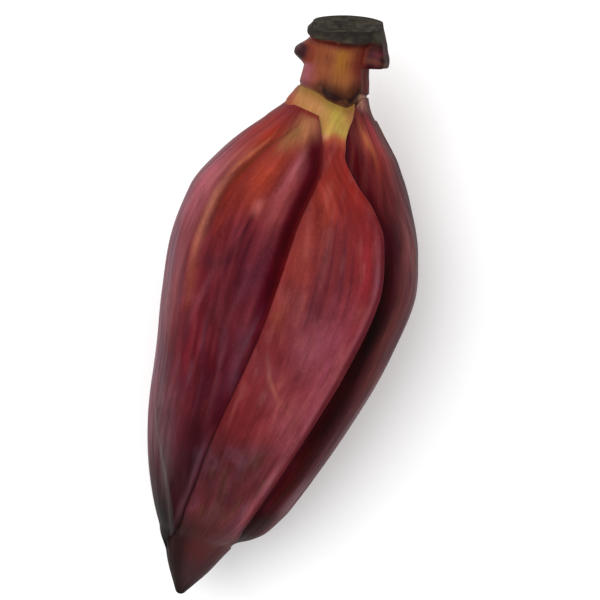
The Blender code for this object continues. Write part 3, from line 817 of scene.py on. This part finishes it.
def make_heart(finish):
    """The tight inner bud: overlapping young bracts, closed round themselves."""
    rows, columns = 150, 128
    leaves, leaf_length, leaf_step = 5, 0.05, 0.0016
    station, azimuth = np.meshgrid(np.linspace(0.046, 0.2585, rows),
                                   np.linspace(-math.pi, math.pi, columns, endpoint=False),
                                   indexing="ij")
    turns = azimuth / (2 * math.pi)
    leaf = (turns * leaves + station / leaf_length) % 1.0
    step = leaf_step * (leaf - 0.5) * np.clip(np.minimum(leaf, 1 - leaf) / 0.06, 0, 1)
    points = bud_points(station, azimuth, step * SLIMNESS(station), HEART)
    tint = blend(np.broadcast_to(rgb(190, 104, 96), station.shape + (3,)), rgb(132, 44, 52),
                 ramp(station, 0.16, 0.25))
    fibre = np.stack((turns * HEART_FIBRES, station / MM, leaf), -1)
    made = rolled_object("heart_skin", points, {"tint": opaque(tint), "fibre": fibre,
                                                "calm": np.full(station.shape, INNER_CALM)})
    finish_piece(made, finish, "heart")


# ---------------------------------------------------------------- florets
FLORETS = 6                 # in a row
FLORET_RADIUS = 0.0022
FLORET_START, FLORET_END = 0.062, 0.096
FLORET_INSET = 0.013       # depth of the fingers under the bud's middle surface
FLORET_ROW_ANGLE = math.radians(34)
FLORET_ROWS = (-84, -26, 80, 170, 228)      # the azimuths of the rows' middles, in degrees
CUSHION_RINGS = 40
FINGER_RINGS = 36
TUBE_SIDES = 20


def tube_rings(route, radii, sides):
    """Rings of points round a route; radii is one number for each point of the route."""
    ahead = np.gradient(route, axis=0)
    ahead /= np.linalg.norm(ahead, axis=1, keepdims=True)
    across = np.cross(ahead, (0.3, 0.2, 0.93))
    across /= np.linalg.norm(across, axis=1, keepdims=True)
    over = np.cross(across, ahead)
    turn = np.linspace(0, 2 * math.pi, sides, endpoint=False)
    return (route[:, None] + radii[:, None, None] * (
        np.cos(turn)[None, :, None] * across[:, None] + np.sin(turn)[None, :, None] * over[:, None]))


def make_floret_row(number, middle, finish):
    """A row of florets: a cushion across the bract's base, and a finger for each floret."""
    angles = math.radians(middle) + FLORET_ROW_ANGLE * (np.arange(FLORETS) / (FLORETS - 1) - 0.5)
    spread = np.linspace(angles[0], angles[-1], CUSHION_RINGS)
    cushion = bud_points(np.full(CUSHION_RINGS, FLORET_START), spread, -FLORET_INSET)
    round_ends = np.sqrt(np.sin(np.linspace(0.12, 3.02, CUSHION_RINGS)))
    routes = [(cushion, FLORET_RADIUS * 1.25 * round_ends)]
    share = np.linspace(0, 1, FINGER_RINGS)
    finger = np.interp(share, (0, 0.3, 0.62, 0.84, 0.93, 1), (0.72, 0.95, 1.0, 0.72, 0.66, 0.3))
    station = FLORET_START + (FLORET_END - FLORET_START) * share
    for angle in angles:
        route = bud_points(station, np.full(FINGER_RINGS, angle), -FLORET_INSET)
        routes.append((route, FLORET_RADIUS * finger))
    points, faces, along = [], [], []
    for i, (route, radii) in enumerate(routes):
        rings = tube_rings(route, radii, TUBE_SIDES)
        rows = len(rings)
        index = np.arange(rows * TUBE_SIDES).reshape(rows, TUBE_SIDES) + sum(map(len, points))
        after = np.roll(index, -1, axis=1)
        quads = np.stack((index[:-1], after[:-1], after[1:], index[1:]), -1)
        faces += quads.reshape(-1, 4).tolist() + [index[0, ::-1].tolist(), index[-1].tolist()]
        points.append(rings.reshape(-1, 3))
        along.append(np.repeat(np.zeros(rows) if i == 0 else share, TUBE_SIDES))
    made = new_object(f"floret_row_{number}_skin", np.concatenate(points) + SETTLE, faces,
                      {"along": np.concatenate(along)})
    finish_piece(made, finish, f"floret_row_{number}")


# ---------------------------------------------------------------- materials
def new_material(name):
    made = bpy.data.materials.new(name)
    made.use_nodes = True
    return made, made.node_tree, made.node_tree.nodes["Principled BSDF"]


def feed(tree, node, given):
    """Gives a node's inputs, by name, a socket's value, a number, or numbers for each axis."""
    for name, value in given.items():
        socket = next(one for one in node.inputs if name in (one.identifier, one.name))
        if isinstance(value, bpy.types.NodeSocket):
            tree.links.new(value, socket)
        elif isinstance(value, (tuple, np.ndarray)) and socket.type == "RGBA":
            socket.default_value = (*map(float, value[:3]), 1.0)
        else:
            socket.default_value = value


def new_node(tree, kind, given, **settings):
    made = tree.nodes.new("ShaderNode" + kind)
    for name, value in settings.items():
        setattr(made, name, value)
    feed(tree, made, given)
    return made


def attribute(tree, name, output):
    return new_node(tree, "Attribute", {}, attribute_name=name).outputs[output]


def noise(tree, vector, scale, stretch, detail):
    """Noise over a vector that is first stretched, one number for each axis."""
    mapping = new_node(tree, "Mapping", {"Scale": stretch, "Vector": vector})
    given = {"Scale": scale, "Detail": detail, "Vector": mapping.outputs["Vector"]}
    return new_node(tree, "TexNoise", given).outputs["Fac"]


def mapped(tree, value, low, high, to_low=0.0, to_high=1.0):
    """A smooth step from one number to another, as the value goes from low to high."""
    given = {"Value": value, "From Min": low, "From Max": high, "To Min": to_low, "To Max": to_high}
    return new_node(tree, "MapRange", given, interpolation_type="SMOOTHSTEP").outputs["Result"]


def mixed(tree, share, first, second, mode="MIX"):
    """A colour mix; a colour is a socket or three numbers."""
    node = new_node(tree, "Mix", {}, data_type="RGBA", blend_type=mode)
    feed(tree, node, {"Factor_Float": share, "A_Color": first, "B_Color": second})
    return next(one for one in node.outputs if one.identifier == "Result_Color")


def bumped(tree, height, distance, strength, normal=None):
    given = {"Distance": distance, "Strength": strength, "Height": height}
    if normal:
        given["Normal"] = normal
    return new_node(tree, "Bump", given).outputs["Normal"]


def bract_material():
    """Leathery bract skin: the tint attribute, streaked along its fibres, under a waxy dusting."""
    made, tree, shader = new_material("bract_skin")
    fibre = attribute(tree, "fibre", "Vector")
    tint = attribute(tree, "tint", "Color")
    fine = noise(tree, fibre, 1.0, (1.3, 0.065, 1.0), 3.0)
    coarse = noise(tree, fibre, 1.0, (0.34, 0.028, 1.0), 4.0)
    patches = noise(tree, fibre, 0.055, (1.0, 0.7, 1.0), 5.0)
    specks = noise(tree, fibre, 0.9, (1.0, 0.5, 1.0), 3.0)
    blotches = noise(tree, fibre, 0.16, (1.0, 0.45, 1.0), 6.0)
    grain = noise(tree, fibre, 1.1, (1.0, 0.6, 1.0), 3.0)
    darker = mixed(tree, 1.0, tint, (0.52, 0.42, 0.45), "MULTIPLY")
    lighter = mixed(tree, 1.0, tint, (1.7, 1.9, 1.9), "MULTIPLY")
    dusty = mixed(tree, 1.0, tint, (0.95, 1.5, 1.7), "MULTIPLY")
    colour = tint
    for field, start, end, most, other in (
            (blotches, 0.5, 0.7, 0.55, darker), (blotches, 0.48, 0.3, 0.4, lighter),
            (coarse, 0.46, 0.74, 0.4, darker), (coarse, 0.48, 0.28, 0.2, lighter),
            (fine, 0.52, 0.8, 0.22, lighter), (grain, 0.5, 0.75, 0.25, lighter),
            (patches, 0.52, 0.75, 0.5, dusty), (specks, 0.62, 0.8, 0.4, darker)):
        colour = mixed(tree, mapped(tree, field, start, end, 0.0, most), colour, other)
    colour = mixed(tree, attribute(tree, "calm", "Fac"), colour, tint)
    feed(tree, shader, {
        "Base Color": colour, "Roughness": mapped(tree, coarse, 0.3, 0.7, 0.42, 0.58),
        "Specular IOR Level": 0.05, "Specular Tint": (1.0, 0.45, 0.48),
        "Normal": bumped(tree, fine, 0.0002, 0.4, bumped(tree, coarse, 0.0004, 0.4)),
    })
    return made


def stalk_material():
    """The cut stalk: the tint attribute with fibres along it and rough, dried scars."""
    made, tree, shader = new_material("stalk_skin")
    fibre = attribute(tree, "fibre", "Vector")
    tint = attribute(tree, "tint", "Color")
    dry = attribute(tree, "dry", "Fac")
    streaks = noise(tree, fibre, 1.0, (1.1, 0.12, 1.0), 5.0)
    mottle = noise(tree, fibre, 0.3, (0.8, 0.8, 1.0), 4.0)
    darker = mixed(tree, 1.0, tint, (0.45, 0.36, 0.36), "MULTIPLY")
    colour = mixed(tree, mapped(tree, streaks, 0.45, 0.75, 0.0, 0.45), tint, darker)
    colour = mixed(tree, mapped(tree, mottle, 0.52, 0.76, 0.0, 0.35), colour, rgb(112, 62, 36))
    crust = mixed(tree, mapped(tree, mottle, 0.36, 0.7), rgb(36, 31, 27), rgb(58, 54, 43))
    crust = mixed(tree, mapped(tree, dry, 1.2, 2.4, 0.0, 0.7), crust, rgb(27, 22, 21))
    colour = mixed(tree, mapped(tree, dry, 0.0, 1.0), colour, crust)
    feed(tree, shader, {
        "Base Color": colour, "Roughness": mapped(tree, dry, 0.0, 1.0, 0.55, 0.85),
        "Specular IOR Level": 0.1,
        "Normal": bumped(tree, mottle, 0.0009, 0.5, bumped(tree, streaks, 0.0005, 0.4)),
    })
    return made


def floret_material():
    """Cream florets that yellow and brown toward their tips."""
    made, tree, shader = new_material("floret_skin")
    place = tree.nodes.new("ShaderNodeTexCoord").outputs["Object"]
    along = attribute(tree, "along", "Fac")
    grain = noise(tree, place, 900.0, (1.0, 0.15, 1.0), 3.0)
    colour = mixed(tree, mapped(tree, along, 0.45, 0.95), rgb(236, 222, 178), rgb(214, 160, 84))
    colour = mixed(tree, mapped(tree, along, 0.9, 1.0), colour, rgb(110, 70, 44))
    colour = mixed(tree, mapped(tree, grain, 0.45, 0.75, 0.0, 0.35), colour, rgb(190, 150, 100))
    feed(tree, shader, {"Base Color": colour, "Roughness": 0.5,
                        "Normal": bumped(tree, grain, 0.0004, 0.5)})
    return made


# ---------------------------------------------------------------- stalk
CUT_LEAN = math.radians(16)         # how far the cut end leans toward the surface
CUT_SIDE_LEAN = math.radians(14.5)
CUT_FADE = 0.022                    # the lean fades out over this much of the stem
CUT_DISH = 0.001
CUT_SQUARENESS = 2.7                # 2 would be round
WORN_EDGE = 0.0022                  # how far the cut's left edge is worn back
WORN_SIDE = 0.0018                  # and the stem beside it
LIP_GAP = 0.0015
CORE_CROWDING = 1.5                 # closer rings where the core leaves the lip
COLLAR_KEPT_BELOW = 0.044          # how far down the collar stays wide, on the underside
COLLAR_SUNK = 0.001                # the collar inside the bracts' bases, below their faces
COLLAR_RAISED = 0.0019
ROUND_COLUMNS = 240
CUT_ROWS = 34
STEM_ROWS = 150
LIP_ROWS = 6
CORE_ROWS = 40


def turned_noise(azimuth, cells, along, seed):
    """Noise that meets itself after a full turn."""
    turns = azimuth / (2 * math.pi) + 0.5
    near = soft_noise(turns * cells, along, seed)
    other = soft_noise(turns * cells - cells, along, seed)
    share = ramp(turns, 0.85, 1.0)
    return near * (1 - share) + other * share


def torn_bases(station, degrees):
    """How far the torn bases of two old bracts stand off the stem: a knob and a flap."""
    knob = 0.0058 * ramp(station, 0.008, 0.02) * fall(station, 0.0212, 0.0258)
    flap_end = 0.018 + 0.0007 * np.sin(np.radians(degrees * 7)) + 0.0004 * np.sin(
        np.radians(degrees * 19))
    flap = 0.0003 + 0.0078 * ramp(station, -0.002, 0.015)
    flap = flap * fall(station, flap_end - 0.0014, flap_end + 0.0014)
    flap = flap * ramp(degrees, 50, 64) * fall(degrees, 120, 155)
    return knob * bump(degrees, -90, 30), flap


def on_underside(degrees):
    """1 on the stalk's underside, where the bracts' bases stand open, and 0 elsewhere."""
    return np.maximum(ramp(-degrees, 84, 96), ramp(degrees, 104, 116))


def stem_radius(station, az, degrees, knob, flap):
    """The stem above the lip: its torn bases, its uneven skin, and its worn left side."""
    above = STEM_RADIUS(station) + knob + flap
    wobble = 0.0003 * turned_noise(az, 30, station / 0.03, 31)
    wobble = wobble + 0.00045 * turned_noise(az, 9, station / 0.009, 32)
    wobble = wobble + 0.00012 * turned_noise(az, 60, station / 0.004, 35)
    above = above + wobble
    on_left = bump(degrees, -90, 34)
    above = above - WORN_EDGE * on_left * fall(station, 0.0, 0.0028)
    return above - WORN_SIDE * on_left * bump(station, 0.0068, 0.0026)


def core_radius(station, degrees, neck):
    """Below the lip: a collar that fills the neck, and the core that it narrows to."""
    below = on_underside(degrees)
    raised = np.maximum(ramp(-degrees, 128, 140), ramp(degrees, 106, 116))
    kept = (neck + 0.003) * (1 - below) + COLLAR_KEPT_BELOW * below
    collar = HALF_WIDTH(station) - COLLAR_SUNK + COLLAR_RAISED * raised * ramp(
        station, 0.0385, 0.0405)
    collar = collar * fall(station, kept, kept + 0.008)
    return np.maximum(CORE_RADIUS(station), collar)


def squared(full, az, station):
    """The radius once the cut end is squarish, which fades out along the stem."""
    squarish = (np.abs(np.cos(az)) ** CUT_SQUARENESS + np.abs(np.sin(az)) ** CUT_SQUARENESS) ** (
        -1 / CUT_SQUARENESS)
    return full * (1 + (squarish - 1) * fall(station, 0.003, 0.012))


def make_stalk(finish):
    """The cut end, the stem with its scars, its lip, and the core that carries the bracts."""
    azimuth = np.linspace(-math.pi, math.pi, ROUND_COLUMNS, endpoint=False)
    cut = np.linspace(0.03, 1, CUT_ROWS, endpoint=False)
    stem = np.linspace(0, 1, STEM_ROWS)
    lip = np.linspace(0, 1, LIP_ROWS + 2)[1:-1]
    core = np.linspace(0, 1, CORE_ROWS)
    inward = np.concatenate((cut, np.ones(STEM_ROWS + LIP_ROWS + CORE_ROWS)))[:, None]
    on_stem = np.concatenate((np.zeros(CUT_ROWS), stem, np.ones(LIP_ROWS + CORE_ROWS)))[:, None]
    on_lip = np.concatenate((np.zeros(CUT_ROWS + STEM_ROWS), lip, np.ones(CORE_ROWS)))[:, None]
    on_core = np.concatenate((np.zeros(CUT_ROWS + STEM_ROWS + LIP_ROWS), core))[:, None]
    az = np.broadcast_to(azimuth[None], (len(inward), ROUND_COLUMNS))
    degrees = np.degrees(az)
    neck = NECK(degrees)
    station = (neck - LIP_GAP) * on_stem + LIP_GAP * on_lip ** 2
    station = station + (CORE_END - neck) * on_core ** CORE_CROWDING
    knob, flap = torn_bases(station, degrees)
    above = stem_radius(station, az, degrees, knob, flap)
    below = core_radius(station, degrees, neck)
    full = above * fall(on_lip, 0, 1) + below * ramp(on_lip, 0, 1)
    full = squared(full, az, station)
    reach = full * inward
    rise = reach * DEPTH_RATIO * np.cos(az)
    aside = reach * np.sin(az)
    on_cut = inward < 1
    dish = on_cut * (CUT_DISH * (1 - inward ** 5) + 0.0007 * ramp(1 - inward, 0, 0.2) * (
        turned_noise(az, 14, inward * 7, 33) + 0.6 * turned_noise(az, 34, inward * 16, 34)))
    slanted = (math.tan(CUT_LEAN) * (full * DEPTH_RATIO + rise)
               - math.tan(CUT_SIDE_LEAN) * aside)
    slanted = slanted * fall(station, 0.0, CUT_FADE)
    points = laid_down(np.stack((STEM_BOW(station) + aside,
                                 LENGTH / 2 - station - slanted - dish, rise), -1))
    tint = stalk_tint(az, degrees, station, neck, knob, flap)
    dry = stalk_crust(az, degrees, station, inward)
    along_stem = np.stack((az * 14, station / MM, np.full(az.shape, 5.0)), -1)
    over_cut = np.stack((aside / MM, rise / MM, np.full(az.shape, 40.0)), -1)
    fibre = np.where(on_cut[..., None], over_cut, along_stem)
    made = rolled_object("stalk_skin", points, {"tint": tint, "fibre": fibre, "dry": dry})
    finish_piece(made, finish, "stalk")


def stalk_tint(az, degrees, station, neck, knob, flap):
    """The stalk's colours: its ground with painted light and shade, its torn bases, the scar by the
    lip, then the collar.
    """
    mottle = turned_noise(az, 12, station / 0.005, 38)
    above_lip = neck - station
    ragged = 0.0012 * turned_noise(az, 12, station / 0.004, 36)
    front = ramp(degrees, -40, -14) * fall(degrees, 40, 62)
    scar = fall(above_lip + ragged, 0.0004 + 0.0024 * front, 0.0044 + 0.0062 * front)
    scar = scar * (0.6 + 0.4 * front) * ramp(degrees, -84, -66)
    gap = ramp(station - neck, -0.0009, 0.0004)
    coats = (
        ((104, 44, 32), 0.5 * ramp(mottle, 0.1, 0.7)),
        ((146, 92, 50), 0.5 * ramp(-mottle, 0.1, 0.7)),
        ((150, 98, 38), 0.9 * bump(degrees, 6, 13) * bump(station, 0.018, 0.009)),
        # painted shade on the stem just below the cut end
        ((96, 36, 32), 0.9 * fall(station, 0.009, 0.015) * fall(degrees, 10, 50)),
        # painted light on the stem's left side, which faces the lamp
        ((152, 78, 92), 0.8 * bump(degrees, -62, 20) * ramp(station, 0.021, 0.027)),
        # painted shade on the stem's right side, away from the lamp
        ((102, 38, 32), 0.9 * ramp(degrees, 20, 42) * fall(degrees, 120, 150)),
        ((76, 32, 30), 0.6 * ramp(degrees, 48, 62) * fall(degrees, 100, 130)),
        ((84, 38, 34), 0.8 * fall(degrees, -120, -84)),
        ((62, 26, 32), ramp(flap, 0.0006, 0.0022)),
        ((98, 40, 50), 0.55 * ramp(flap, 0.002, 0.005) * bump(station, 0.012, 0.005)),
        ((120, 48, 36), 0.8 * ramp(knob, 0.0002, 0.0012)),
        ((52, 24, 28), ramp(knob + 0.0006 * mottle, 0.0012, 0.0036)),
        # a painted highlight on the knob's top edge
        ((110, 76, 82), 0.35 * bump(knob, 0.005, 0.0012) * fall(station, 0.018, 0.0205)),
        ((46, 22, 24), ramp(flap, 0.0062, 0.0074)),
        ((66, 34, 22), 0.92 * scar),
        # near-black in the scar: its own dark brown, with painted shadow under its raised ridge
        ((34, 17, 12), 0.95 * front * bump(above_lip, 0.002 + 0.001 * mottle, 0.0022)),
        ((84, 36, 32), 0.5 * bump(above_lip, 0.0018, 0.0014) * (1 - scar)),
        ((128, 88, 52), gap),
        ((156, 104, 70), gap * on_underside(degrees)),
        ((44, 22, 16), gap * ramp(degrees, -44, -10) * fall(degrees, 40, 54)),
        ((170, 122, 108), gap * bump(degrees, 66, 14)),
        # painted shade under the rim of the cut end
        ((48, 22, 20), 0.85 * bump(station, 0.007, 0.0026)
         * ramp(degrees + 14 * mottle, -50, 10)),
    )
    tint = np.broadcast_to(rgb(130, 68, 42), az.shape + (3,))
    for colour, share in coats:
        tint = blend(tint, rgb(*colour), share)
    return opaque(less_shine(tint))


def stalk_crust(az, degrees, station, inward):
    """How dried the stalk is: 1 on the grey crust of its cut end, and more along its rim."""
    crust_end = 0.0026 + 0.0014 * turned_noise(az, 10, station * 0, 37) + 0.0022 * bump(
        degrees, 26, 34)
    rim = np.clip((inward - 0.86) / 0.14, 0, 1) * fall(station, 0.0, 0.004)
    return fall(station, crust_end, crust_end + 0.0032) + rim


# ---------------------------------------------------------------- stage
LEAN_RIGHT = math.radians(16.3)     # the blossom leans this far to the right in the picture
FRAME_WIDTH = 0.2596                # what the picture is wide, at the blossom's middle height
CAMERA_HEIGHT = 0.95
MIDDLE_HEIGHT = 0.049
AIM = (0.007, 0.0068)
KEY_TOWARD = (-0.4, 0.3, 1.0)     # right, up and out as the camera sees it
KEY_DISTANCE = 1.1
KEY_SIZE = 1.0
KEY_POWER = 7.6
STUDIO_STRENGTH = 0.92
FLOOR_COLOUR = (0.96, 0.96, 0.96)
FLOOR_REACH = 2.0


def make_camera():
    data = bpy.data.cameras.new("camera")
    data.lens = data.sensor_width * (CAMERA_HEIGHT - MIDDLE_HEIGHT) / FRAME_WIDTH
    data.clip_start = 0.01
    camera = placed("camera", data)
    camera.location = (*AIM, CAMERA_HEIGHT)
    camera.rotation_euler = (0.0, 0.0, LEAN_RIGHT)
    bpy.context.scene.camera = camera


def make_key_light():
    """One soft lamp above and to the left."""
    cosine, sine = math.cos(LEAN_RIGHT), math.sin(LEAN_RIGHT)
    right, up, out = KEY_TOWARD
    direction = Vector((right * cosine - up * sine, right * sine + up * cosine, out)).normalized()
    data = bpy.data.lights.new("key", "AREA")
    data.shape = "DISK"
    data.size = KEY_SIZE
    data.energy = KEY_POWER
    lamp = placed("key", data)
    lamp.location = Vector((0, 0, MIDDLE_HEIGHT)) + direction * KEY_DISTANCE
    lamp.rotation_euler = (-direction).to_track_quat("-Z", "Y").to_euler()


def make_floor():
    mesh = bpy.data.meshes.new("floor")
    corners = [(x * FLOOR_REACH, y * FLOOR_REACH, 0) for x, y in ((-1, -1), (1, -1), (1, 1), (-1, 1))]
    mesh.from_pydata(corners, [], [(0, 1, 2, 3)])
    floor = placed("floor", mesh)
    made, tree, shader = new_material("pale_floor")
    feed(tree, shader, {"Base Color": FLOOR_COLOUR, "Roughness": 0.8, "Specular IOR Level": 0.1})
    mesh.materials.append(made)


def make_studio():
    """Even white light from all round, shown without a film look."""
    world = bpy.data.worlds.new("studio")
    world.use_nodes = True
    background = world.node_tree.nodes["Background"]
    feed(world.node_tree, background, {"Color": (1.0, 1.0, 1.0), "Strength": STUDIO_STRENGTH})
    bpy.context.scene.world = world
    bpy.context.scene.view_settings.view_transform = "Standard"


# ---------------------------------------------------------------- the whole scene
FINE_CELLS = (140, 240)             # across and along the three outer bracts on top
COARSE_CELLS = (110, 190)           # and the two of the underside
INNER_CELLS = (48, 70)


def main():
    skin = bract_material()
    for i, bract in enumerate(OUTER_BRACTS):
        make_outer_bract(bract, FINE_CELLS if i < 3 else COARSE_CELLS, skin, 11 + 10 * i)
    for i, bract in enumerate(inner_bracts()):
        make_inner_bract(bract, INNER_CELLS, skin, 71 + 10 * i)
    make_heart(skin)
    cream = floret_material()
    for i, middle in enumerate(FLORET_ROWS):
        make_floret_row(i + 1, middle, cream)
    make_stalk(stalk_material())
    make_camera()
    make_floor()
    make_studio()
    make_key_light()


main()
